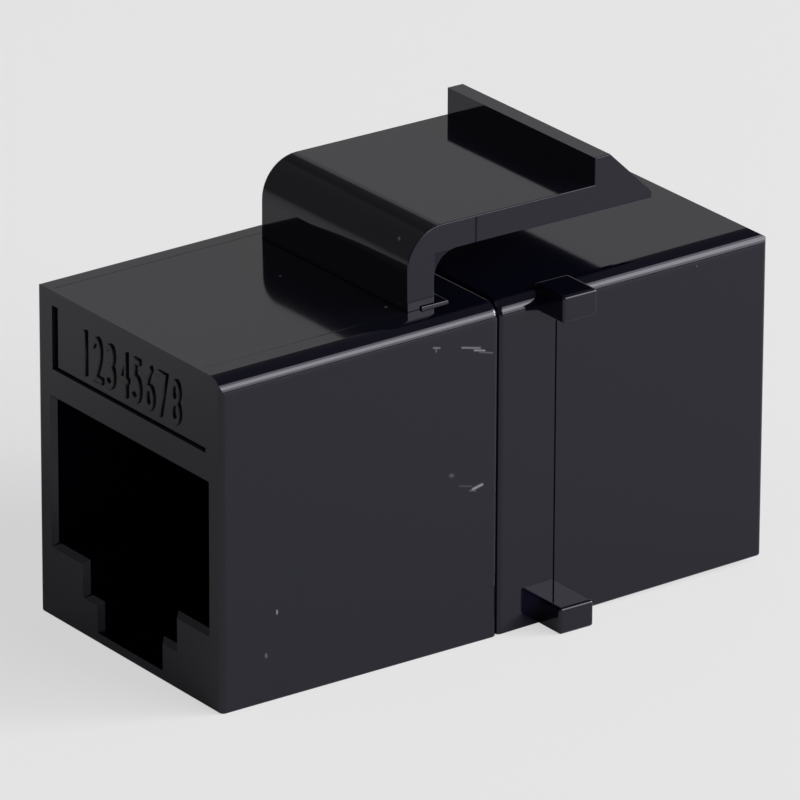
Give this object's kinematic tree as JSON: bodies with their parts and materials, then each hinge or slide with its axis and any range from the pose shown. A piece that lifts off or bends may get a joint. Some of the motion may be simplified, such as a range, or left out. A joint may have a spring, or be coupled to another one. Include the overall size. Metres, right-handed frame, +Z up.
{
  "type": "keystone in-line coupler",
  "caption": "Black keystone coupler: two half shells with a sprung latch and lugs for a wall plate, and a modular plug socket at each end joined by a small board.",
  "frame": {"origin": "on the base plane, under the middle of the body", "axes": "+X runs along the body from the labelled rear socket to the front socket that shows through the wall plate; +Y across the body; +Z up, through the latch"},
  "size_m": [0.0304, 0.0176, 0.0213],
  "materials": {
    "shell_plastic": "gloss black moulded plastic",
    "carrier_plastic": "matt black moulded plastic",
    "contact_gold": "gold-plated spring wire",
    "board_laminate": "green lacquered glass laminate",
    "solder": "bright tin solder"
  },
  "bodies": {
    "coupler_body": {"rear_housing": "shell_plastic", "front_housing": "shell_plastic", "rear_contact_carrier": "carrier_plastic", "front_contact_carrier": "carrier_plastic", "circuit_board": "board_laminate", "rear_solder_joints": "solder", "front_solder_joints": "solder", "rear_contact_1": "contact_gold", "rear_contact_2": "contact_gold", "rear_contact_3": "contact_gold", "rear_contact_4": "contact_gold", "rear_contact_5": "contact_gold", "rear_contact_6": "contact_gold", "rear_contact_7": "contact_gold", "rear_contact_8": "contact_gold", "front_contact_1": "contact_gold", "front_contact_2": "contact_gold", "front_contact_3": "contact_gold", "front_contact_4": "contact_gold", "front_contact_5": "contact_gold", "front_contact_6": "contact_gold", "front_contact_7": "contact_gold", "front_contact_8": "contact_gold"},
    "latch": {"latch_arm": "shell_plastic"}
  },
  "joints": [
    {"name": "latch_flex", "type": "hinge", "parent": "coupler_body", "child": "latch", "pos_m": [-0.0032, 0, 0.0163], "axis": [0, 1, 0], "range_deg": [0, 9], "stiffness_Nm_per_rad": 0.6}
  ]
}
